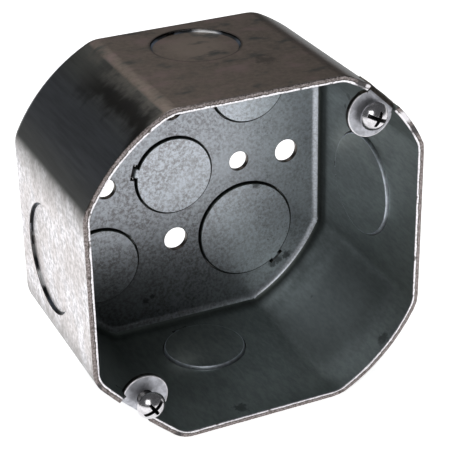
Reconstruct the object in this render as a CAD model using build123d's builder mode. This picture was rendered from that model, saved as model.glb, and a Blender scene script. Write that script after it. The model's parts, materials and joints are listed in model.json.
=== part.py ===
"""A drawn steel 4 inch octagon junction box, 2-1/8 inch deep, open at the front.

The box is one pressing: a flat back with a soft draw radius, four long flat sides, four bowed
diagonal sides, and two ears bent inwards from the rim to take the cover screws. Nine knockout
slugs, each pushed part of the way in and held by one small tie, close the conduit holes.

Frame: millimetres, +Z up, +X to the right and the opening towards -Y. The origin is the middle
of the back's outer face, which is the face that is fixed to a wall or ceiling joist.
"""

import os
from math import cos, radians, sin

from build123d import *

# ---- Box ----
across_flats = 90.5
flat_length = 45.0
depth = 54.0
wall = 1.6
corner_radius = 8.0
back_radius = 4.5
# Furthest reach of each diagonal's outer face from the box axis, by its direction in degrees.
# The lower left one is pressed nearly flat, where its ear was bent.
diagonal_reach = {45: 50.8, 135: 50.8, 225: 48.6, 315: 50.8}

# The middle of the back's holes and of the two ears, which is a little off the box axis.
pattern_center = (-1.2, 1.8)

# ---- Ears and cover screws ----
screw_circle_radius = 44.45
ear_turn = 0.9
ear_recess = 0.4
ear_inset = 0.2
ear_tab_radius = 6.15
ear_neck_width = 9.4
ear_bend_radius = 2.2
ear_notch_gap = 0.5
ear_leg_overlap = 4.0
ear_flat_overlap = 1.0
ear_shoulder_radius = 1.0
ear_hole_diameter = 4.3
screw_major_diameter = 4.17
screw_thread_depth = 0.45
screw_pitch = 0.794
screw_length = 9.53
screw_tip_chamfer = 0.3
head_diameter = 7.3
head_rim_height = 0.5
head_height = 2.9
slot_width = 0.95
slot_length = 6.2
slot_depth = 1.25
cross_length = 4.2
cross_depth = 2.0
cross_taper = 12.0

# ---- Knockouts and mounting holes ----
half_inch_slug = 22.2
three_quarter_slug = 28.2
slug_gap = 0.25
slug_push = 0.8
tie_width = 2.8
tie_notch_width = 0.8
tie_notch_depth = 1.0
tie_notch_skin = 0.4
tie_root_gap = 0.02
small_knockout_pitch = 22.6
lower_right_knockout_pitch = 21.2
upper_left_knockout_pitch = 21.2
top_knockout_height = 18.8
left_knockout_height = 24.8
right_knockout_height = 26.0
# How far three of the side knockouts lie off the middle of their flats.
top_knockout_offset = 0.9
left_knockout_offset = 2.0
small_hole_diameter = 5.6
large_hole_diameter = 6.75
inner_hole_pitch = 19.6
outer_hole_pitch = 34.2

cut_margin = 0.5
half_flats = across_flats / 2
opening = Plane.XZ


def turned(point, degrees):
    """A point of the front view turned about the box axis."""
    return Vector(*point).rotate(Axis.Z, degrees)


def side_plane(degrees, height, offset, tie_degrees):
    """A plane on a flat side's outer face, facing inwards, with x along the tie's direction."""
    center = turned((half_flats, offset), degrees)
    outward = turned((1, 0), degrees)
    inward = Vector(-outward.X, 0, -outward.Y)
    to_back = Vector(0, 1, 0)
    origin = Vector(center.X, -height, center.Y)
    tie_direction = to_back.rotate(Axis((0, 0, 0), inward), tie_degrees)
    return Plane(origin=origin, x_dir=tie_direction, z_dir=inward)


def back_plane(x, z, tie_degrees):
    """A plane on the back's outer face, facing inwards, with x along the tie's direction."""
    tie_direction = Vector(cos(radians(tie_degrees)), 0, sin(radians(tie_degrees)))
    center_x = pattern_center[0] + x
    center_z = pattern_center[1] + z
    return Plane(origin=(center_x, 0, center_z), x_dir=tie_direction, z_dir=(0, -1, 0))


# Each knockout: its plane on the outer face, and its slug's diameter.
knockouts = {
    "back_knockout_center": (back_plane(0, 0, 165), half_inch_slug),
    "back_knockout_upper_right": (
        back_plane(small_knockout_pitch, small_knockout_pitch, 45),
        half_inch_slug,
    ),
    "back_knockout_lower_left": (
        back_plane(-small_knockout_pitch, -small_knockout_pitch, 225),
        half_inch_slug,
    ),
    "back_knockout_upper_left": (
        back_plane(-upper_left_knockout_pitch, upper_left_knockout_pitch, 135),
        half_inch_slug,
    ),
    "back_knockout_lower_right": (
        back_plane(lower_right_knockout_pitch, -lower_right_knockout_pitch, -50),
        three_quarter_slug,
    ),
    "top_knockout": (
        side_plane(90, top_knockout_height, top_knockout_offset, -12),
        half_inch_slug,
    ),
    "bottom_knockout": (
        side_plane(270, top_knockout_height, -top_knockout_offset, 12),
        half_inch_slug,
    ),
    "left_knockout": (
        side_plane(180, left_knockout_height, left_knockout_offset, -5),
        three_quarter_slug,
    ),
    "right_knockout": (side_plane(0, right_knockout_height, 0, 8), three_quarter_slug),
}

# Each ear, by its screw: the direction of the diagonal it is cut from, how far the screw's head
# stands off its seat, and the angle of the slot.
ears = {
    "upper_cover_screw": (45, 2 * screw_pitch, -26),
    "lower_cover_screw": (225, 4.5 * screw_pitch, 32),
}


def ear_frames(degrees):
    """The planes of an ear: its top face seen from the opening, and its bend seen from the side.

    The two ears share one line, which is turned a little from the diagonals.
    """
    turn = radians(degrees + ear_turn)
    outward = Vector(cos(turn), 0, sin(turn))
    along = Vector(sin(turn), 0, -cos(turn))
    middle = Vector(pattern_center[0], 0, pattern_center[1])
    top = Plane(origin=middle + Vector(0, ear_recess - depth, 0), x_dir=outward, z_dir=(0, 1, 0))
    side = Plane(origin=middle, x_dir=outward, z_dir=along)
    return top, side


# ---- The pressed box ----
with BuildPart() as box_shell:
    with BuildSketch(opening):
        with BuildLine():
            for direction, reach in diagonal_reach.items():
                start = turned((half_flats, flat_length / 2), direction - 45)
                middle = turned((reach, 0), direction)
                end = turned((flat_length / 2, half_flats), direction - 45)
                next_start = turned((-flat_length / 2, half_flats), direction - 45)
                ThreePointArc(start, middle, end)
                Line(end, next_start)
        make_face()
    extrude(amount=depth)
    fillet(box_shell.edges().filter_by(Axis.Y), radius=corner_radius)
    fillet(box_shell.faces().sort_by(Axis.Y)[-1].edges(), radius=back_radius)
    offset(amount=-wall, openings=box_shell.faces().sort_by(Axis.Y)[0])

    # Knockout holes, each with the pair of lance notches that leave a tie between them. The
    # notches are struck from the inside and leave a thin skin of the wall outside.
    for plane, slug_diameter in knockouts.values():
        hole_radius = slug_diameter / 2 + slug_gap
        with BuildSketch(plane.offset(-cut_margin)):
            Circle(hole_radius)
        extrude(amount=wall + 2 * cut_margin, mode=Mode.SUBTRACT)
        with BuildSketch(plane.offset(tie_notch_skin)):
            with Locations((hole_radius, 0)):
                Rectangle(2 * tie_notch_depth, tie_width + 2 * tie_notch_width)
        extrude(amount=wall, mode=Mode.SUBTRACT)

    # Mounting holes in the back.
    with BuildSketch(opening.offset(-cut_margin)):
        with Locations(pattern_center):
            with Locations((inner_hole_pitch, 0), (-inner_hole_pitch, 0)):
                Circle(small_hole_diameter / 2)
            with Locations((0, inner_hole_pitch), (0, -inner_hole_pitch)):
                Circle(large_hole_diameter / 2)
            with Locations((outer_hole_pitch, 0), (-outer_hole_pitch, 0)):
                Circle(large_hole_diameter / 2)
    extrude(amount=wall + 2 * cut_margin, mode=Mode.SUBTRACT)

    # The ears: the rim is cut down, and a strip of the wall folds inwards over a bend.
    for direction, _, _ in ears.values():
        top_plane, bend_plane = ear_frames(direction)
        ear_top = depth - ear_recess
        middle_reach = turned(pattern_center, -direction).X
        ear_outer = diagonal_reach[direction] - middle_reach - ear_inset
        flat_end = ear_outer - ear_bend_radius
        notch_bottom = ear_top - ear_bend_radius - ear_notch_gap
        leg_bottom = notch_bottom - ear_leg_overlap
        with BuildSketch(bend_plane):
            with Locations((ear_outer, (notch_bottom + depth + cut_margin) / 2)):
                Rectangle(6 * wall, depth + cut_margin - notch_bottom)
        extrude(amount=ear_neck_width / 2 + ear_notch_gap, both=True, mode=Mode.SUBTRACT)

        with BuildSketch(bend_plane):
            with BuildLine():
                bend_center = (flat_end, ear_top - ear_bend_radius)
                outer_bend = CenterArc(bend_center, ear_bend_radius, 0, 90)
                inner_bend = CenterArc(bend_center, ear_bend_radius - wall, 0, 90)
                Polyline(
                    outer_bend @ 1,
                    (flat_end - ear_flat_overlap, ear_top),
                    (flat_end - ear_flat_overlap, ear_top - wall),
                    inner_bend @ 1,
                )
                Polyline(
                    outer_bend @ 0,
                    (ear_outer, leg_bottom),
                    (ear_outer - wall, leg_bottom),
                    inner_bend @ 0,
                )
            make_face()
        extrude(amount=ear_neck_width / 2, both=True)

        with BuildSketch(top_plane) as tab:
            with Locations((screw_circle_radius, 0)):
                Circle(ear_tab_radius)
            with Locations((flat_end + ear_tab_radius, 0)):
                Rectangle(2 * ear_tab_radius, 4 * ear_tab_radius, mode=Mode.SUBTRACT)
            fillet(tab.vertices(), radius=ear_shoulder_radius)
            with Locations((flat_end - ear_shoulder_radius, 0)):
                Rectangle(2 * ear_shoulder_radius, ear_neck_width)
        extrude(amount=wall)
        with BuildSketch(top_plane.offset(-cut_margin)):
            with Locations((screw_circle_radius, 0)):
                Circle(ear_hole_diameter / 2)
        extrude(amount=wall + 2 * cut_margin, mode=Mode.SUBTRACT)

box_shell.part.label = "box_shell"


def make_slug(name, plane, slug_diameter):
    """A knockout slug, pushed inwards, with its tie reaching the end of the lance notches."""
    tie_reach = slug_diameter / 2 + slug_gap + tie_notch_depth - tie_root_gap
    with BuildPart() as slug:
        with BuildSketch(plane.offset(slug_push)):
            Circle(slug_diameter / 2)
            with Locations((tie_reach / 2, 0)):
                Rectangle(tie_reach, tie_width)
        extrude(amount=wall)
    slug.part.label = name
    export_step(slug.part, f"parts/{name}.step")


def thread_profile():
    """Half of the shank's outline, from its tip up to the head, with one ridge for each turn."""
    major = screw_major_diameter / 2
    root = major - screw_thread_depth
    points = [(0, 0), (0, -screw_length), (root - screw_tip_chamfer, -screw_length)]
    for ridge in range(int(screw_length / screw_pitch) - 1, 0, -1):
        points.append((root, -(ridge + 0.5) * screw_pitch))
        points.append((major, -ridge * screw_pitch))
    points.append((root, -0.5 * screw_pitch))
    points.append((root, 0))
    return points


def make_screw(name, direction, standoff, slot_angle):
    """A cover screw: a domed head with a slot across a cruciform recess, and a threaded shank."""
    turn = radians(direction + ear_turn)
    outward = Vector(cos(turn), 0, sin(turn))
    slot_direction = Vector(cos(radians(slot_angle)), 0, sin(radians(slot_angle)))
    middle = Vector(pattern_center[0], ear_recess - depth - standoff, pattern_center[1])
    seat = middle + outward * screw_circle_radius
    side = Plane(origin=seat, x_dir=outward, z_dir=outward.cross(Vector(0, -1, 0)))
    head_top = seat + Vector(0, -head_height, 0)
    recess_plane = Plane(origin=head_top, x_dir=slot_direction, z_dir=(0, 1, 0))
    with BuildPart() as screw:
        with BuildSketch(side):
            with BuildLine():
                Polyline(*thread_profile(), close=True)
            make_face()
        with BuildSketch(side):
            with BuildLine():
                head_rim = (head_diameter / 2, head_rim_height)
                Polyline((0, head_height), (0, 0), (head_diameter / 2, 0), head_rim)
                TangentArc((0, head_height), head_rim, tangent=(1, 0))
            make_face()
        revolve(axis=Axis(seat, (0, -1, 0)))
        with BuildSketch(recess_plane):
            Rectangle(slot_length, slot_width)
        extrude(amount=slot_depth, mode=Mode.SUBTRACT)
        with BuildSketch(recess_plane):
            Rectangle(cross_length, slot_width)
            Rectangle(slot_width, cross_length)
        extrude(amount=cross_depth, taper=cross_taper, mode=Mode.SUBTRACT)
    screw.part.label = name
    export_step(screw.part, f"parts/{name}.step")


os.makedirs("parts", exist_ok=True)
export_step(box_shell.part, "parts/box_shell.step")
for knockout_name, (knockout_plane, knockout_diameter) in knockouts.items():
    make_slug(knockout_name, knockout_plane, knockout_diameter)
for screw_name, ear in ears.items():
    make_screw(screw_name, *ear)
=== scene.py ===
"""A drawn steel octagon junction box on a pale floor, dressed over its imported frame.

Everything is in metres and in the frame's own axes: +Z is up and the opening faces -Y.
The pressed shell, the slugs and the screws are worked up from the frame's solids: their flat faces
are merged, their sheared edges are eased, and the rim gets the burrs that a trimming die leaves.
"""

import json
from math import cos, radians, sin, sqrt

import bmesh
import bpy
from mathutils import Matrix, Vector, noise
from mathutils.bvhtree import BVHTree
from mathutils.interpolate import poly_3d_calc


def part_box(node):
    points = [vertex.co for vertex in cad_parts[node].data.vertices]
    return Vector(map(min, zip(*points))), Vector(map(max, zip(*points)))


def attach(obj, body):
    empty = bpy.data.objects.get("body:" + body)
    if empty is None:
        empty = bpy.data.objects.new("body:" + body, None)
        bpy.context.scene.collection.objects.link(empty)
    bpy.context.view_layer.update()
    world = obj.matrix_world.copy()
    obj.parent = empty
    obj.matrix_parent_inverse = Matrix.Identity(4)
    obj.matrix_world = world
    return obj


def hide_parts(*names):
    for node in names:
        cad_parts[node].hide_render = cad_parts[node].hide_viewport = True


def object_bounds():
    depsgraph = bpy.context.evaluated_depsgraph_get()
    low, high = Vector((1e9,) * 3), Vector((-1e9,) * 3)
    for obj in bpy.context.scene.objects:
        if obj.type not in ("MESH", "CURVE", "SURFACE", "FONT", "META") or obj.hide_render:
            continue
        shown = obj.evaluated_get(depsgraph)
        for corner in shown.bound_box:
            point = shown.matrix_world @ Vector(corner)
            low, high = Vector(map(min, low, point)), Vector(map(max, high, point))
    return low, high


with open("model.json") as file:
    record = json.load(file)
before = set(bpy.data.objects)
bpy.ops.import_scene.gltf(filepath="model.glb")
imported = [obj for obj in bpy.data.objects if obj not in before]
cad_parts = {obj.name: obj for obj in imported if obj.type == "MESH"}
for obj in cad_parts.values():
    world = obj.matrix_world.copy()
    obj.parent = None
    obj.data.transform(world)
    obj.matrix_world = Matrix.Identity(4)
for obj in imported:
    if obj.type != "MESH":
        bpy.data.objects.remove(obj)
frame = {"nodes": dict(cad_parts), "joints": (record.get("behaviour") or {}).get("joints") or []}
cad_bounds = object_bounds()

mm = 0.001

# ---- Sizes read from the frame ----
shell_low, shell_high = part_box("box_shell")
rim_y = shell_low.y
half_flats = shell_high.x
wall = 1.6 * mm
knockouts = sorted(name for name in frame["nodes"] if "knockout" in name)
screws = sorted(name for name in frame["nodes"] if "screw" in name)
screw_axes = [sum(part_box(name), Vector()) / 2 for name in screws]
# As in the part: the middle between the ears, and the ears' directions in degrees.
ear_middle = Vector((-1.2 * mm, 0, 1.8 * mm))
ear_directions = (45.9, 225.9)


def front(vector):
    """A vector as it looks from the front, with nothing left of its depth."""
    return Vector((vector.x, 0, vector.z))


def toward(azimuth, elevation):
    """The direction at an azimuth, counted from the opening, and an elevation, both in radians."""
    return Vector((
        sin(azimuth) * cos(elevation),
        -cos(azimuth) * cos(elevation),
        sin(elevation),
    ))


def placed(name, data):
    """A new object with the data, in the scene."""
    made = bpy.data.objects.new(name, data)
    bpy.context.scene.collection.objects.link(made)
    return made


# ---- Camera ----
camera_azimuth = radians(-24.21)
camera_elevation = radians(27.42)
camera_roll = radians(-1.24)
camera_distance = 0.4292
camera_target = Vector((0.0096, -0.0110, -0.0117))
camera_lens = 125.8
sensor_width = 36
nearest = 0.01


def make_camera():
    """A camera to the left of the opening and above it, with everything in focus."""
    back = toward(camera_azimuth, camera_elevation)
    level_right = Vector((0, 0, 1)).cross(back).normalized()
    level_up = back.cross(level_right)
    right = level_right * cos(camera_roll) + level_up * sin(camera_roll)
    up = level_up * cos(camera_roll) - level_right * sin(camera_roll)
    data = bpy.data.cameras.new("camera")
    data.lens = camera_lens
    data.sensor_width = sensor_width
    data.clip_start = nearest
    data.dof.use_dof = False
    camera = placed("camera", data)
    camera.matrix_world = Matrix.Translation(camera_target + back * camera_distance) @ Matrix(
        (right, up, back)
    ).transposed().to_4x4()
    bpy.context.scene.camera = camera


# ---- Materials ----
class Surface:
    """A material's node tree. Places are in the object's own metres."""

    def __init__(self, name, metallic, roughness):
        self.material = bpy.data.materials.new(name)
        self.material.use_nodes = True
        self.tree = self.material.node_tree
        self.shader = self.tree.nodes["Principled BSDF"]
        self.shader.inputs["Metallic"].default_value = metallic
        self.shader.inputs["Roughness"].default_value = roughness
        coordinates = self.tree.nodes.new("ShaderNodeTexCoord")
        self.place = coordinates.outputs["Object"]
        self.normal = coordinates.outputs["Normal"]

    def node(self, kind, inputs=(), **settings):
        """A node with its settings, and its inputs by index: values are set and sockets linked."""
        made = self.tree.nodes.new(kind)
        for name, value in settings.items():
            setattr(made, name, value)
        for index, value in dict(inputs).items():
            if isinstance(value, bpy.types.NodeSocket):
                self.tree.links.new(value, made.inputs[index])
            else:
                made.inputs[index].default_value = value
        return made

    def math(self, operation, a, b=0.0, c=0.0):
        return self.node("ShaderNodeMath", {0: a, 1: b, 2: c}, operation=operation).outputs[0]

    def product(self, a, b):
        return self.math("MULTIPLY", a, b)

    def part(self, vector, axis):
        """One coordinate of a vector: 0, 1 or 2 for x, y or z."""
        return self.node("ShaderNodeSeparateXYZ", {0: vector}).outputs[axis]

    def between(self, value, low, high):
        """0 at low, 1 at high, smooth between and held outside. Low may be above high."""
        inputs = {0: value, 1: low, 2: high, 3: 0.0, 4: 1.0}
        ranged = self.node("ShaderNodeMapRange", inputs, interpolation_type="SMOOTHSTEP")
        return ranged.outputs[0]

    def grain(self, feature, stretch=(1, 1, 1), detail=3.0, roughness=0.6, seed=0.0):
        """Noise from 0 to 1 with features of that size, made longer along the axes that stretch."""
        scale = [1 / (feature * along) for along in stretch]
        mapped = self.node("ShaderNodeMapping", {0: self.place, 1: (seed, seed, seed), 3: scale})
        inputs = {"Vector": mapped.outputs[0], "Scale": 1.0, "Detail": detail, "Roughness": roughness}
        return self.node("ShaderNodeTexNoise", inputs).outputs[0]

    def mix(self, factor, a, b):
        """Colour a where the factor is 0 and colour b where it is 1."""
        mixed = self.node("ShaderNodeMix", {0: factor, 6: a, 7: b}, data_type="RGBA")
        return mixed.outputs[2]

    def away(self, center):
        """How far each point is from a center."""
        inputs = {0: self.place, 1: center}
        return self.node("ShaderNodeVectorMath", inputs, operation="DISTANCE").outputs[1]

    def marked(self, color, center, radius, ragged, strength, mark):
        """A colour with a ragged spot of another colour, the mark, around a point on the surface."""
        away = self.away(center)
        edge = self.grain(radius * 0.5, detail=4.0, roughness=0.7)
        shifted = self.math("MULTIPLY_ADD", edge, radius * ragged * 2, -radius * ragged)
        spot = self.between(self.math("ADD", away, shifted), radius, radius * 0.45)
        return self.mix(self.product(spot, strength), color, mark)

    def smudged(self, color, smudges, strength, value):
        """A colour with dark smudges: each is a point, a radius and how ragged it is."""
        for center, radius, ragged in smudges:
            color = self.marked(color, center, radius, ragged, strength, grey(value))
        return color

    def set(self, name, value):
        self.tree.links.new(value, self.shader.inputs[name])

    def bump(self, height, distance, strength=1.0):
        inputs = {"Strength": strength, "Distance": distance, "Height": height}
        self.set("Normal", self.node("ShaderNodeBump", inputs).outputs[0])


def grey(value, tint=(1, 1, 1)):
    return (value * tint[0], value * tint[1], value * tint[2], 1)


cold = (0.93, 0.99, 1.08)
green = (0.93, 1.04, 1.00)
warm = (1.14, 0.97, 0.86)
brown = (1.18, 0.96, 0.80)
lilac = (1.01, 0.985, 1.02)
olive = (1.0, 1.03, 0.95)


def mottled_zinc(name, dull, bright):
    """Cold grey zinc, mottled and flecked, with painted light that lightens it towards the right and
    painted shadow low down on the left, where the box's own wall shades it.
    """
    made = Surface(name, 0.92, 0.34)
    blotches = made.grain(9 * mm, detail=3.0)
    mottle = made.grain(0.9 * mm, detail=4.0, roughness=0.75, seed=3.0)
    flecks = made.grain(0.65 * mm, detail=3.0, roughness=0.7, seed=8.0)
    crowding = made.between(made.grain(10 * mm, detail=2.0, seed=4.0), 0.30, 0.70)
    color = made.mix(made.between(mottle, 0.36, 0.62), grey(dull * 0.85, lilac), grey(bright, cold))
    blotch = made.product(made.between(blotches, 0.40, 0.80), 0.6)
    color = made.mix(blotch, color, grey(bright * 1.1, cold))
    # Painted light: lighter towards the right.
    right = made.between(made.part(made.place, 0), 2 * mm, 24 * mm)
    color = made.mix(made.product(right, 0.35), color, grey(bright * 1.5, cold))
    fleck = made.product(made.between(flecks, 0.55, 0.63), crowding)
    color = made.mix(made.product(fleck, 0.5), color, grey(0.14, cold))
    # Painted shadow: darker low down on the left, where the box's own wall shades it.
    low = made.between(made.part(made.place, 2), -2 * mm, -32 * mm)
    left = made.between(made.part(made.place, 0), 30 * mm, -24 * mm)
    painted_shadow = made.product(made.product(low, left), 0.78)
    color = made.mix(painted_shadow, color, grey(0.05, green))
    made.set("Base Color", made.smudged(color, back_smudges, 0.7, 0.03))
    made.set("Roughness", made.node("ShaderNodeMapRange", {0: mottle, 3: 0.28, 4: 0.44}).outputs[0])
    made.bump(mottle, 0.02 * mm, 0.5)
    return made.material


def drawn_inside():
    """The inside of the walls: dark greenish zinc, lightened towards the rim by painted light and darkest
    at its root, against the back, by painted shade.

    Painted shade makes the lower right and upper left diagonals darker still, midway between the back and
    the rim.
    """
    made = Surface("drawn_inside", 0.9, 0.42)
    depth = made.part(made.place, 1)
    blotches = made.grain(9 * mm, stretch=(1, 1.8, 1), detail=4.0)
    fine = made.grain(0.9 * mm, stretch=(1, 3, 1), detail=3.0, seed=5.0)
    dark = made.mix(made.between(fine, 0.3, 0.7), grey(0.23, green), grey(0.30, green))
    light = made.mix(made.between(fine, 0.3, 0.7), grey(0.35, green), grey(0.44, green))
    # Painted light: the walls are lighter towards the rim.
    painted_light_toward_rim = made.between(depth, -20 * mm, -52 * mm)
    shade = made.math("ADD", made.product(painted_light_toward_rim, 0.3), made.product(blotches, 0.9))
    color = made.mix(made.between(shade, 0.3, 1.0), dark, light)
    # Painted shade: the lower right and upper left diagonals are darker midway between the back and the
    # rim.
    leaning = made.product(made.part(made.normal, 0), made.part(made.normal, 2))
    midway = made.between(depth, -50 * mm, -38 * mm)
    midway = made.product(made.between(depth, -8 * mm, -20 * mm), midway)
    painted_diagonal_shade = made.product(made.between(leaning, -0.2, -0.45), midway)
    color = made.mix(made.product(painted_diagonal_shade, 0.6), color, grey(0.09, green))
    # Painted shade: darkest at the root, against the back.
    root = made.between(depth, -7.0 * mm, -2.2 * mm)
    color = made.mix(made.product(root, 0.8), color, grey(0.04, green))
    made.set("Base Color", made.smudged(color, wall_smudges, 0.55, 0.03))
    made.bump(fine, 0.01 * mm, 0.4)
    return made.material


def rusty_steel(made, mottle, patches):
    """Reddish brown steel, rubbed lighter round the top knockout, with a painted shadow line along its
    edge.
    """
    rust = made.mix(made.between(mottle, 0.3, 0.7), grey(0.125, brown), grey(0.18, brown))
    rust = made.mix(made.between(patches, 0.50, 0.70), rust, grey(0.19, (1.25, 0.92, 0.86)))
    top = Slug("top_knockout")
    hole_radius = top.radius + slug_gap
    away = made.away(top.center)
    rubbed = made.product(made.between(away, hole_radius, 4 * mm), 0.7)
    rust = made.mix(rubbed, rust, grey(0.24, brown))
    # Painted shadow: a dark ring along the edge of the top knockout's hole.
    off_edge = made.math("ABSOLUTE", made.math("SUBTRACT", away, hole_radius + 0.2 * mm))
    painted_hole_shadow = made.product(made.between(off_edge, 0.7 * mm, 0.1 * mm), 0.6)
    rust = made.mix(painted_hole_shadow, rust, grey(0.03, brown))
    return made.mix(made.between(patches, 0.46, 0.32), rust, grey(0.08, (1.0, 1.0, 0.92)))


def bare_steel(made, sideways):
    """Dark steel for the diagonals, streaked along the draw: bluish in the middle, and darkest outward,
    where painted shade darkens them as they round into the side flats.
    """
    streaks = made.grain(1.2 * mm, stretch=(1, 14, 1), detail=3.0, seed=2.0)
    bare = made.mix(made.between(streaks, 0.3, 0.7), grey(0.095, olive), grey(0.125, olive))
    middle = made.product(made.between(sideways, 0.54, 0.70), made.between(sideways, 0.92, 0.80))
    bluish = made.mix(made.between(streaks, 0.3, 0.7), grey(0.13, cold), grey(0.18, cold))
    bare = made.mix(middle, bare, bluish)
    # Painted shade: near-black where a diagonal rounds into a side flat.
    return made.mix(made.product(made.between(sideways, 0.82, 0.92), 0.7), bare, grey(0.03, olive))


def drawn_outside():
    """The outside of the walls, by the way each part faces: partly as the draw and the weather left it,
    and partly painted light.

    The top and bottom flats are brown and the diagonals bare steel, with a line of painted shade along
    the bend between them and painted shade where the diagonals round into the side flats. The left and
    right flats are light zinc in the middle, lightened further by painted sheen. Where the walls round
    into the back they are grey zinc.
    """
    made = Surface("drawn_outside", 0.9, 0.36)
    sideways = made.math("ABSOLUTE", made.part(made.normal, 0))
    backward = made.between(made.part(made.normal, 1), 0.15, 0.85)
    mottle = made.grain(1.3 * mm, detail=5.0, roughness=0.7, seed=6.0)
    patches = made.grain(7 * mm, stretch=(1.6, 1, 1.6), detail=4.0, roughness=0.6, seed=9.0)
    rust = rusty_steel(made, mottle, patches)
    bare = bare_steel(made, sideways)
    bend = made.math("ADD", sideways, made.product(made.math("SUBTRACT", patches, 0.5), 0.3))
    color = made.mix(made.between(bend, 0.36, 0.54), rust, bare)
    # Painted shade: a near-black line along the bend between the top and bottom flats and the diagonals,
    # strongest towards the rim.
    painted_bend_shade = made.product(made.between(bend, 0.46, 0.53), made.between(bend, 0.66, 0.56))
    forward = made.between(made.part(made.place, 1), -8 * mm, -30 * mm)
    painted_bend_shade = made.product(painted_bend_shade, made.product(forward, 0.9))
    color = made.mix(painted_bend_shade, color, grey(0.015, warm))
    zinc = made.mix(made.between(mottle, 0.36, 0.62), grey(0.42, lilac), grey(0.86, lilac))
    zinc = made.mix(made.between(patches, 0.62, 0.42), zinc, made.mix(0.4, zinc, grey(0.36, warm)))
    # The light zinc in the middle of the side flats is also painted sheen, fading towards their top and
    # bottom.
    upright = made.between(sideways, 0.90, 0.99)
    high = made.math("ABSOLUTE", made.part(made.place, 2))
    wandering = made.math("MULTIPLY_ADD", patches, -8 * mm, high)
    plated = made.product(upright, made.between(wandering, 24 * mm, 9 * mm))
    color = made.mix(plated, color, zinc)
    color = made.mix(made.product(backward, 0.85), color, grey(0.38, cold))
    made.set("Base Color", made.smudged(color, outer_smudges, 0.45, 0.02))
    made.bump(mottle, 0.012 * mm, 0.5)
    return made.material


def cut_rim():
    """The cut edge round the opening: brown on the outer half, then a dark line of painted shade along
    the score, then bright steel, burnished and also painted highlight, with painted glints among its
    light marks.
    """
    made = Surface("cut_rim", 0.95, 0.32)
    across = made.node("ShaderNodeAttribute", attribute_name=across_name).outputs["Fac"]
    ragged = made.grain(2.2 * mm, detail=4.0, roughness=0.75)
    place = made.math("MULTIPLY_ADD", made.math("SUBTRACT", ragged, 0.5), 0.55, across)
    score = made.grain(0.5 * mm, detail=3.0, seed=2.0)
    outer = made.mix(made.between(score, 0.35, 0.65), grey(0.10, warm), grey(0.30, (1.1, 0.97, 0.97)))
    # The bright inner half is burnished steel, and also painted highlight.
    inner = made.mix(made.between(score, 0.3, 0.6), grey(0.62, lilac), grey(0.95, lilac))
    color = made.mix(made.between(place, 0.64, 0.74), outer, inner)
    # Painted shade: a dark line along the score.
    line = made.product(made.between(place, 0.52, 0.60), made.between(place, 0.70, 0.63))
    color = made.mix(line, color, grey(0.035, warm))
    torn = made.between(made.grain(4.5 * mm, detail=3.0, seed=7.0), 0.60, 0.66)
    color = made.mix(made.product(torn, 0.8), color, grey(0.06, warm))
    # The light marks are painted glints, the others dark marks.
    for center, radius, light in rim_marks_and_glints:
        color = made.marked(color, center, radius, 0.7, 0.85, grey(0.85 if light else 0.05, lilac))
    made.set("Base Color", color)
    made.bump(score, 0.04 * mm, 0.7)
    return made.material


def plain_metal(name, low, high, tint, feature, roughness=0.35, metallic=0.95):
    """One metal, lightly varied between two greys."""
    made = Surface(name, metallic, roughness)
    grain = made.grain(feature, detail=3.0)
    made.set("Base Color", made.mix(made.between(grain, 0.3, 0.7), grey(low, tint), grey(high, tint)))
    made.bump(grain, 0.01 * mm, 0.5)
    return made.material


def sheared_hole():
    """The sheared edge of a knockout: dark where the metal tore, lighter and bluish where the punch
    burnished it, with painted highlights on the left and top knockouts.
    """
    made = Surface("sheared_hole", 0.95, 0.4)
    stretches = made.grain(9 * mm, detail=1.0, seed=1.0)
    color = made.mix(made.between(stretches, 0.46, 0.60), grey(0.03, cold), grey(0.14, (0.8, 0.95, 1.2)))
    # Painted highlights on the sheared edges of the left and top knockouts.
    for center, radius, value in painted_hole_highlights:
        color = made.marked(color, center, radius, 0.3, 0.95, grey(value))
    made.set("Base Color", color)
    made.bump(made.grain(0.6 * mm), 0.02 * mm, 0.5)
    return made.material


# The name of a vertex's place across the rim: 0 at its outer edge and 1 at its inner one.
across_name = "across_the_rim"
# Dark marks on the back, inside the walls and outside them: a point on the surface, the mark's
# radius, and how ragged it is.
back_smudges = (
    ((0.0285, -wall, -0.0330), 1.5 * mm, 0.9),
    ((0.0305, -wall, -0.0322), 1.6 * mm, 0.9),
    ((0.0330, -wall, -0.0312), 1.7 * mm, 0.9),
    ((0.0232, -2.4 * mm, -0.0062), 1.6 * mm, 0.8),
    ((-0.0090, -wall, -0.0342), 1.0 * mm, 0.9),
    ((-0.0111, -wall, -0.0352), 1.2 * mm, 0.9),
    ((-0.0148, -wall, -0.0138), 0.8 * mm, 0.7),
)
wall_smudges = (
    ((0.0437, -0.0181, 0.0223), 1.5 * mm, 0.8),
    ((0.0437, -0.0160, 0.0187), 0.9 * mm, 0.9),
    ((0.0267, -0.0051, -0.0437), 1.0 * mm, 0.8),
    ((0.0324, -0.0179, -0.0362), 1.0 * mm, 0.8),
    ((0.0360, -0.0515, -0.0325), 2.2 * mm, 1.1),
    ((-0.0044, -0.0500, -0.0437), 2.4 * mm, 1.3),
)
outer_smudges = (
    ((-0.0284, -0.0404, 0.0423), 2.6 * mm, 1.3),
    ((-0.0276, -0.0477, 0.0432), 2.8 * mm, 1.3),
    ((-0.0288, -0.0303, 0.0419), 2.0 * mm, 1.3),
    ((0.0100, -0.0360, 0.0452), 3.4 * mm, 1.2),
)
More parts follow.
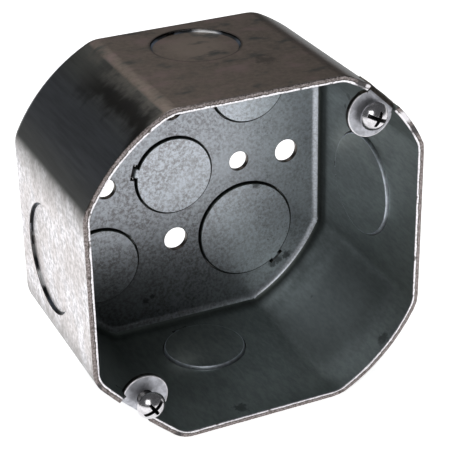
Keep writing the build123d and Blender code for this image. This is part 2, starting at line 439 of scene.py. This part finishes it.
# Marks on the rim: a point, a radius, and whether the mark is light. The light marks are painted glints.
rim_marks_and_glints = (
    ((0.0390, rim_y, 0.0309), 2.6 * mm, True),
    ((0.0427, rim_y, 0.0273), 2.4 * mm, False),
    ((0.0270, rim_y, 0.0421), 2.2 * mm, False),
    ((0.0288, rim_y, 0.0413), 0.9 * mm, True),
    ((-0.0443, rim_y, -0.0235), 1.6 * mm, False),
    ((-0.0432, rim_y, -0.0262), 1.6 * mm, False),
    ((-0.0240, rim_y, -0.0439), 1.8 * mm, False),
)
# Painted highlights on the sheared edges of the left and top knockouts: a point, a radius, and how bright
# it is.
painted_hole_highlights = (
    ((-0.0445, -0.0110, -0.0050), 3.4 * mm, 0.30),
    ((-0.0445, -0.0095, -0.0022), 2.2 * mm, 0.60),
    ((-0.0445, -0.0152, -0.0124), 3.2 * mm, 0.95),
    ((0.0068, -0.0090, 0.0445), 5.2 * mm, 0.80),
    ((-0.0033, -0.0070, 0.0445), 1.0 * mm, 0.95),
)


# ---- Meshes ----
# Points closer than the weld distance are one, and points this close to a plane are on it. Faces
# within the flat angle of each other are merged, and edges sharper than the sharp angle are eased.
# A merged face has more than these corners and this area. The three cosines say how closely a
# normal has to agree with its face: on a plain part of the surface, beside an eased edge, and on a
# part that was bent away from the CAD surface.
weld_distance = 0.001 * mm
close = 0.02 * mm
flat_angle = radians(0.1)
sharp_angle = radians(38)
skin_distance = 0.005 * mm
merged_corners = 10
merged_area = 15 * mm * mm
same_way = cos(radians(18))
rounded_way = cos(radians(75))
bent_way = cos(radians(40))


class Skin:
    """A CAD node's surface, which knows the true surface normal at each of its points."""

    def __init__(self, node):
        data = frame["nodes"][node].data
        data.calc_loop_triangles()
        points = [vertex.co.copy() for vertex in data.vertices]
        normals = [corner.vector.copy() for corner in data.corner_normals]
        triangles = data.loop_triangles
        self.corners = [[points[i] for i in triangle.vertices] for triangle in triangles]
        self.normals = [[normals[i] for i in triangle.loops] for triangle in triangles]
        self.tree = BVHTree.FromPolygons(points, [tuple(t.vertices) for t in triangles])

    def normal(self, point, facing, reach=skin_distance, way=same_way):
        """The normal at a point, on a part of the surface that looks the given way, or None."""
        for place, flat, index, _ in self.tree.find_nearest_range(point, reach):
            if flat.dot(facing) > way:
                weights = poly_3d_calc(self.corners[index], place)
                parts = [n * w for n, w in zip(self.normals[index], weights)]
                return sum(parts, Vector()).normalized()
        return None


def corner_normals(mesh, skin, bent):
    """A normal for each corner of each face: the CAD surface's own, and blends round eased edges.

    A large face with many corners was merged from flat ones, so that all its corners look one way.
    Where faces were bent away from the CAD surface, by up to a distance, they keep its normals.
    """
    mesh.normal_update()
    mark = mesh.faces.layers.int["eased"]
    widest = {}
    for vertex in mesh.verts:
        for face in sorted(vertex.link_faces, key=lambda f: -f.calc_area()):
            widest[vertex] = skin.normal(vertex.co, face.normal)
            if widest[vertex]:
                break
    found = []
    for face in mesh.faces:
        if len(face.verts) > merged_corners and face.calc_area() > merged_area:
            found += [face.normal.copy()] * len(face.verts)
            continue
        for loop in face.loops:
            vertex = loop.vert
            normal = skin.normal(vertex.co, face.normal)
            if not normal and widest.get(vertex) and widest[vertex].dot(face.normal) > rounded_way:
                normal = widest[vertex]
            if not normal and bent and not face[mark]:
                normal = skin.normal(vertex.co, face.normal, bent, bent_way)
            blended = vertex.normal if vertex.normal.dot(face.normal) > same_way else face.normal
            found.append(normal or (vertex.normal if face[mark] else blended).copy())
    return found


def welded(node):
    """A new mesh from a CAD node, with its seams welded and its flat faces merged."""
    mesh = bmesh.new()
    mesh.from_mesh(frame["nodes"][node].data)
    bmesh.ops.remove_doubles(mesh, verts=mesh.verts, dist=weld_distance)
    bmesh.ops.dissolve_limit(
        mesh, angle_limit=flat_angle, verts=mesh.verts, edges=mesh.edges, delimit={"SHARP"}
    )
    mesh.faces.layers.int.new("eased")
    return mesh


def cut_across(mesh, place, way):
    """Cuts every face of a mesh along the plane through a place that is square to a way."""
    everything = mesh.verts[:] + mesh.edges[:] + mesh.faces[:]
    bmesh.ops.bisect_plane(mesh, geom=everything, plane_co=place, plane_no=way)


def sharp_edges(mesh):
    return [e for e in mesh.edges if len(e.link_faces) == 2 and e.calc_face_angle(0) > sharp_angle]


def eased(mesh, radius, edges=None, segments=2):
    """Rounds a mesh's sharp edges, or those given, by a small radius, and marks the new faces."""
    rounded = bmesh.ops.bevel(
        mesh, geom=sharp_edges(mesh) if edges is None else edges, offset=radius,
        offset_type="OFFSET", segments=segments, profile=0.5, affect="EDGES", clamp_overlap=False,
    )
    mark = mesh.faces.layers.int["eased"]
    for face in rounded["faces"]:
        face[mark] = 1


def finished(mesh, name, body, node, materials, bent=0.0):
    """Makes the mesh an object with smooth faces, in place of its CAD node."""
    data = bpy.data.meshes.new(name)
    for face in mesh.faces:
        face.smooth = True
    normals = corner_normals(mesh, Skin(node), bent)
    mesh.to_mesh(data)
    mesh.free()
    data.normals_split_custom_set(normals)
    for material in materials:
        data.materials.append(material)
    piece = placed(name, data)
    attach(piece, body)
    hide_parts(node)
    return piece


# ---- The shell ----
# The rim's edges are cut to short steps, with bands of wall below them.
rim_step = 0.9 * mm
rim_bands = (0.3 * mm, 1.2 * mm)
# How far the die threw the rim's points out of line, everywhere and more at the box's corners, and
# how deep it scored the rim along its middle, each with the size of the unevenness. The seed makes
# the throws the same in each run.
burr = 0.035 * mm
corner_burr = 0.10 * mm
corner_reach = 6 * mm
burr_feature = 1.3 * mm
burr_seed = 7
score_depth = 0.14 * mm
score_feature = 3 * mm
ear_ease = 0.28 * mm
shell_ease = 0.15 * mm
# An ear, from the middle between the ears: where it starts, where its flat tab ends, half the
# widths of the tab and of the leg beyond it, and how far below the rim the leg goes.
ear_start = 36 * mm
ear_flat_end = 47.4 * mm
ear_narrows = ear_flat_end - 1 * mm
ear_half_width = 6.4 * mm
leg_half_width = 4.85 * mm
leg_depth = 4.5 * mm
screw_hole_reach = 2.3 * mm
# Where the finishes change: how far below the rim an ear's inner side starts, how far below it the
# rounded edges look like their wall, how far out the back's holes go, how high the foot of the
# walls still looks like the back, and the part of each flat that its knockout is in.
ear_inside_depth = 2.2 * mm
rounded_depth = 12 * mm
back_hole_reach = 40.5 * mm
foot_height = 0.75 * mm
side_hole_reach = 17 * mm
side_hole_start = 6 * mm
shell_finishes = ("plate", "inside", "outside", "rim", "cut", "hole", "ear", "ear_bend_shade", "ear_edge_highlight")


def on_ear(point):
    """Whether a point is on one of the two ears, clear of the wall beside them."""
    for direction in ear_directions:
        outward = Vector((cos(radians(direction)), 0, sin(radians(direction))))
        across = Vector((-outward.z, 0, outward.x))
        reach = (point - ear_middle).dot(outward)
        half_width = ear_half_width if reach < ear_narrows else leg_half_width
        near = reach > ear_start and abs((point - ear_middle).dot(across)) < half_width
        if near and point.y < rim_y + leg_depth:
            return True
    return False


def wall_side(face):
    """1 for an outer face of the walls, -1 for an inner one and 0 for a face that is neither."""
    center = face.calc_center_median()
    lean = face.normal.dot(front(center).normalized())
    return 0 if abs(face.normal.y) > 0.6 or abs(lean) < 0.3 else (1 if lean > 0 else -1)


def wall_tree(mesh, side):
    """The outer faces of the walls, or with side -1 their inner faces, to measure distances to."""
    mesh.verts.index_update()
    points = [vertex.co.copy() for vertex in mesh.verts]
    faces = [[v.index for v in face.verts] for face in mesh.faces if wall_side(face) == side]
    return BVHTree.FromPolygons(points, faces)


def cut_rim_up(mesh):
    """Cuts the rim's edges into short lengths, with a band of wall below them."""
    for below in rim_bands:
        cut_across(mesh, (0, rim_y + below, 0), (0, 1, 0))
    lowest = rim_y + rim_bands[0] + weld_distance
    for edge in [e for e in mesh.edges if max(v.co.y for v in e.verts) < lowest]:
        cuts = int(edge.calc_length() / rim_step)
        if cuts:
            bmesh.ops.subdivide_edges(mesh, edges=[edge], cuts=cuts)


def wear_rim(mesh, outer_wall, inner_wall):
    """Scores a line along the middle of the rim, works its points out of line and measures them."""

    def across(point):
        out, inn = (tree.find_nearest(point)[3] for tree in (outer_wall, inner_wall))
        return out / (out + inn)

    flat_y = rim_y + close
    flat = [f for f in mesh.faces if f.calc_center_median().y < flat_y and f.normal.y < -0.9]
    bmesh.ops.triangulate(mesh, faces=flat)
    top = [v for v in mesh.verts if v.co.y < flat_y]
    places = {vertex: across(vertex.co) for vertex in top}
    crossing = [
        e for e in mesh.edges
        if all(v in places for v in e.verts) and abs(places[e.verts[0]] - places[e.verts[1]]) > 0.5
    ]
    middle = bmesh.ops.subdivide_edges(mesh, edges=crossing, cuts=1)["geom_inner"]
    for vertex in (v for v in middle if isinstance(v, bmesh.types.BMVert)):
        vertex.co.y += score_depth * (0.6 + noise.noise(vertex.co / score_feature))
    measured = mesh.verts.layers.float.new(across_name)
    noise.seed_set(burr_seed)
    for vertex in mesh.verts:
        if vertex.co.y > rim_y + rim_bands[0] * 1.1:
            continue
        vertex[measured] = across(vertex.co)
        around = abs(abs(vertex.co.x) - abs(vertex.co.z))
        corner = max(0.0, 1 - abs(around - 0.5 * half_flats) / corner_reach)
        if vertex.co.y < rim_y + rim_bands[0] * 0.8:
            throw = burr + corner * corner_burr
            vertex.co += noise.noise_vector(vertex.co / burr_feature) * throw


def shell_finish(center, normal, rounded):
    """Which of the shell's finishes a face has, by where it is and which way it faces."""
    outward = front(center)
    lean = normal.dot(outward.normalized())
    if on_ear(center):
        tab = front(center - ear_middle).length < ear_flat_end
        upright = abs(normal.y) < 0.93
        if center.y > rim_y + ear_inside_depth and upright and lean < 0.3 and center.z < 0:
            return "inside"
        if tab and upright:
            # An ear's top edges take a painted highlight, and its sides the near-black finish of painted
            # shade.
            return "ear_edge_highlight" if normal.y < -0.2 else "cut"
        # An ear's outer bend takes a painted dark reflection.
        if not tab and normal.y > -0.9 and center.z > 0:
            return "ear_bend_shade"
        return "ear"
    if center.y < rim_y + rim_bands[0]:
        return "rim"
    side = "outside" if lean > 0 else "inside"
    if rounded and center.y < rim_y + rounded_depth:
        return side
    in_back = center.y > -wall - 0.05 * mm and outward.length < back_hole_reach
    # The near-black cut finish paints shade on eased edges and on the walls of the back's holes.
    if rounded or in_back and abs(normal.y) < 0.5:
        return "cut"
    if center.y > -wall - foot_height and normal.y < -0.72 or abs(normal.y) > 0.97:
        return "plate"
    by_knockout = min(abs(center.x), abs(center.z)) < side_hole_reach
    if abs(lean) < 0.45 and by_knockout and center.y < -side_hole_start:
        return "hole"
    return side


def in_screw_hole(point):
    """Whether a point is on the edge or the wall of one of the ears' holes, which stay sharp."""
    return any(front(point - axis).length < screw_hole_reach for axis in screw_axes)


def ease_shell(mesh):
    """Eases the ears' edges, then the others. Points that this throws off the surface go back to it."""

    def inside(edge, test):
        return all(test(vertex.co) for vertex in edge.verts)

    edges = [e for e in sharp_edges(mesh) if inside(e, on_ear) and not inside(e, in_screw_hole)]
    eased(mesh, ear_ease, edges)
    eased(mesh, shell_ease, [e for e in sharp_edges(mesh) if not inside(e, on_ear)])
    skin = Skin("box_shell")
    for vertex in mesh.verts:
        place, _, _, away = skin.tree.find_nearest(vertex.co)
        if away > ear_ease / 2:
            vertex.co = place


def make_shell(materials):
    mesh = welded("box_shell")
    outer_wall, inner_wall = wall_tree(mesh, 1), wall_tree(mesh, -1)
    cut_rim_up(mesh)
    ease_shell(mesh)
    wear_rim(mesh, outer_wall, inner_wall)
    mesh.normal_update()
    mark = mesh.faces.layers.int["eased"]
    for face in mesh.faces:
        finish = shell_finish(face.calc_center_median(), face.normal, face[mark])
        face.material_index = shell_finishes.index(finish)
    used = [materials[name] for name in shell_finishes]
    finished(mesh, "pressed_shell", "box", "box_shell", used)


# ---- The slugs ----
# As in the part: the gap round a slug, how far it is pushed in, and its tie with its two notches.
slug_gap = 0.25 * mm
slug_push = 0.8 * mm
tie_notch_depth = 1.0 * mm
tie_notch_skin = 0.4 * mm
tie_half_width = 1.4 * mm
tie_root_gap = 0.02 * mm
# What the shears left: a rounded inner edge, and a burr that stands out sideways and downwards from
# the outer face's edge. Points within the slug's skin of one of its faces are on that face.
slug_ease = 0.35 * mm
slug_burr = 0.23 * mm
burr_height = 0.42 * mm
burr_band = 0.3 * mm
slug_skin = 0.1 * mm


class Slug:
    """A slug's own directions: across its wall to the inside, and along it towards its tie's root."""

    def __init__(self, node):
        low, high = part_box(node)
        size = high - low
        through = min(range(3), key=lambda axis: size[axis])
        joint = next(joint for joint in frame["joints"] if joint["child"] == node)
        self.root = Vector(joint["pos_m"])
        self.back = through == 1
        self.inward = Vector((0, 0, 0))
        self.inward[through] = -1.0 if self.back or self.root[through] > 0 else 1.0
        self.tieward = Vector(joint["axis"]).cross(self.inward)
        self.radius = sorted(size)[1] / 2
        self.center = self.root - self.tieward * (self.radius + slug_gap + tie_notch_depth)
        self.neck = sqrt(self.radius ** 2 - tie_half_width ** 2) - (self.root - self.center).length

    def along(self, point):
        """How far a point is beyond the tie's root, so that the whole slug is below zero."""
        return (point - self.root).dot(self.tieward)

    def up(self, point):
        return (point - self.root).dot(self.inward)


def draw_burr(mesh, slug):
    """Draws out the sheared edge of a slug's outer face into a burr that fills most of its gap."""
    outer = max((f for f in mesh.faces if f.normal.dot(slug.inward) < -0.99), key=lambda f: f.calc_area())
    edge = [vertex for vertex in outer.verts if slug.along(vertex.co) < slug.neck + close]
    bmesh.ops.inset_individual(mesh, faces=[outer], thickness=burr_band, use_even_offset=True)
    for vertex in edge:
        off = vertex.co - slug.center
        off -= slug.inward * off.dot(slug.inward)
        vertex.co += off.normalized() * slug_burr - slug.inward * burr_height


def sink_tie(mesh, slug):
    """Bends the end of a slug's tie back out, to meet the wall's inner face at the tie's root."""
    cut_across(mesh, slug.root + slug.tieward * slug.neck, slug.tieward)
    for vertex in [v for v in mesh.verts if slug.along(v.co) > -slug_skin]:
        inner = slug.up(vertex.co) > slug_push - wall / 2
        sunk = slug_push if inner else slug_push - tie_notch_skin - tie_root_gap
        vertex.co -= slug.inward * sunk


def make_slug(node, materials):
    """A slug in its finishes: its inner face, its outer face, its sheared edge and the burr on it."""
    slug = Slug(node)
    mesh = welded(node)
    mesh.normal_update()
    draw_burr(mesh, slug)
    inner_edges = [
        e for e in sharp_edges(mesh)
        if all(slug.up(v.co) > slug_push - slug_skin for v in e.verts)
        and min(slug.along(v.co) for v in e.verts) < -slug_skin
    ]
    eased(mesh, slug_ease, inner_edges)
    sink_tie(mesh, slug)
    mesh.normal_update()
    # The side slugs' upper sheared edges take a painted highlight.
    walls = ("inside", "outside", "slug_edge_highlight", "hole")
    # The back slugs' edges take a near-black painted shade.
    faces = ("slug_face", "slug_face", "slug_ring_shade", "slug_ring_shade") if slug.back else walls
    for face in mesh.faces:
        facing = -face.normal.dot(slug.inward)
        center = face.calc_center_median()
        flat = abs(facing) > (0.7 if slug.along(center) > slug.neck else 0.97)
        edge = 2 if slug.up(center) > -wall / 4 else 3
        face.material_index = edge if not flat else (1 if facing > 0 else 0)
    used = [materials[name] for name in faces]
    finished(mesh, node + "_slug", node, node, used, slug_push + slug_skin)


# ---- The screws ----
# As in the part: the head's radius, height and the height of its rim.
head_radius = 3.65 * mm
head_height = 2.9 * mm
head_rim = 0.5 * mm
screw_ease = 0.05 * mm
# Faces this far below the dome are in the slot or the cross, which end this far inside the edge.
recess_floor = 0.12 * mm
recess_margin = 0.3 * mm
# How much smaller the shank is than the CAD's, except for the points that are near its axis.
thread_clearance = 0.03 * mm
shank_core = 10 * thread_clearance


def make_screw(node, materials):
    """A cover screw: its slot and cross are painted dark as shade, and its thread is darker than its
    head.

    Its shank is drawn in a little, so that the thread stays clear of the ear's hole.
    """
    low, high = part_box(node)
    axis = (low + high) / 2
    mesh = welded(node)
    eased(mesh, screw_ease, segments=1)
    seat = low.y + head_height
    for vertex in mesh.verts:
        outward = front(vertex.co - axis)
        if vertex.co.y > seat + close and outward.length > shank_core:
            vertex.co -= outward.normalized() * thread_clearance
    mesh.normal_update()
    rise = head_height - head_rim
    curve = (head_radius ** 2 + rise ** 2) / (2 * rise)
    for face in mesh.faces:
        center = face.calc_center_median()
        off_axis = front(center - axis).length
        dome = low.y + curve - sqrt(max(0.0, curve ** 2 - off_axis ** 2))
        sunk = center.y > dome + recess_floor and center.y < seat - screw_ease
        # Painted shade: the slot and cross take the near-black recess finish.
        face.material_index = 1 if sunk and off_axis < head_radius - recess_margin else 0
        if center.y > seat + screw_ease:
            face.material_index = 2
    used = [materials[name] for name in ("screw_zinc", "screw_recess_shade", "thread")]
    finished(mesh, node + "_plated", node, node, used, 2 * thread_clearance)


# ---- Studio ----
# The floor is just below the box, so that the two surfaces don't coincide. It glows most near the
# box, and the glow fades between these distances.
floor_gap = 0.05 * mm
floor_half_size = 4.0
glow_near, glow_far = 0.30, 0.75
glow_most, glow_least = 0.88, 0.25


def make_floor():
    """A plain pale floor under the box, lit most near it."""
    mesh = bmesh.new()
    bmesh.ops.create_grid(mesh, x_segments=1, y_segments=1, size=floor_half_size)
    data = bpy.data.meshes.new("floor")
    mesh.to_mesh(data)
    mesh.free()
    floor = placed("floor", data)
    floor.location.z = cad_bounds[0].z - floor_gap
    made = Surface("floor_white", 0.0, 0.9)
    made.shader.inputs["Base Color"].default_value = (0.9, 0.9, 0.9, 1)
    made.shader.inputs["Emission Color"].default_value = (1, 1, 1, 1)
    pool = {0: made.away((0, 0, 0)), 1: glow_near, 2: glow_far, 3: glow_most, 4: glow_least}
    glow = made.node("ShaderNodeMapRange", pool, interpolation_type="SMOOTHSTEP")
    made.set("Emission Strength", glow.outputs[0])
    data.materials.append(made.material)


def softbox(name, azimuth, elevation, distance, size, power, color=(1, 1, 1)):
    """A square area light that looks at the box from an azimuth and an elevation in degrees."""
    away = toward(radians(azimuth), radians(elevation))
    data = bpy.data.lights.new(name, "AREA")
    data.size = size
    data.energy = power
    data.color = color
    light = placed(name, data)
    light.location = away * distance
    light.rotation_euler = away.to_track_quat("Z", "Y").to_euler()


def make_studio():
    world = bpy.data.worlds.new("studio")
    world.use_nodes = True
    world.node_tree.nodes["Background"].inputs[0].default_value = (0.07, 0.072, 0.075, 1)
    bpy.context.scene.world = world
    bpy.context.scene.view_settings.view_transform = "Standard"
    make_floor()
    softbox("above_behind", 180, 62, 1.2, 0.8, 7)
    softbox("beside_camera", -30, 32, 1.0, 0.5, 2.0)


def make_materials():
    return {
        "plate": mottled_zinc("plate_zinc", 0.24, 0.50),
        "slug_face": mottled_zinc("slug_zinc", 0.34, 0.68),
        "inside": drawn_inside(),
        "outside": drawn_outside(),
        "rim": cut_rim(),
        # Near-black, as painted shade on eased edges, the ears' sides and the back's hole walls.
        "cut": plain_metal("cut_steel_shade", 0.03, 0.08, warm, 0.8 * mm),
        "hole": sheared_hole(),
        "ear": plain_metal("ear_zinc", 0.36, 0.60, (0.97, 0.98, 1.06), 1.8 * mm, 0.5, 0.85),
        # The ears' outer bends: painted dark reflection.
        "ear_bend_shade": plain_metal("ear_bend_shade", 0.06, 0.14, warm, 1.5 * mm, 0.4),
        # The ears' top edges: painted highlight.
        "ear_edge_highlight": plain_metal("ear_edge_highlight", 0.60, 0.90, lilac, 1.5 * mm, 0.4),
        # The back slugs' edges: painted shade.
        "slug_ring_shade": plain_metal("slug_ring_shade", 0.03, 0.08, green, 1.2 * mm),
        # The side slugs' sheared edges: painted highlight.
        "slug_edge_highlight": plain_metal("slug_edge_highlight", 0.60, 0.95, cold, 3 * mm, 0.5),
        "screw_zinc": plain_metal("screw_zinc", 0.58, 0.74, lilac, 1.2 * mm, 0.2),
        "thread": plain_metal("thread_zinc", 0.06, 0.16, lilac, 1.2 * mm, 0.35),
        # The screws' slots and crosses: painted shade.
        "screw_recess_shade": plain_metal("screw_recess_shade", 0.015, 0.04, lilac, 0.8 * mm, 0.5),
    }


def make_all():
    materials = make_materials()
    make_camera()
    make_studio()
    make_shell(materials)
    for node in knockouts:
        make_slug(node, materials)
    for node in screws:
        make_screw(node, materials)


make_all()
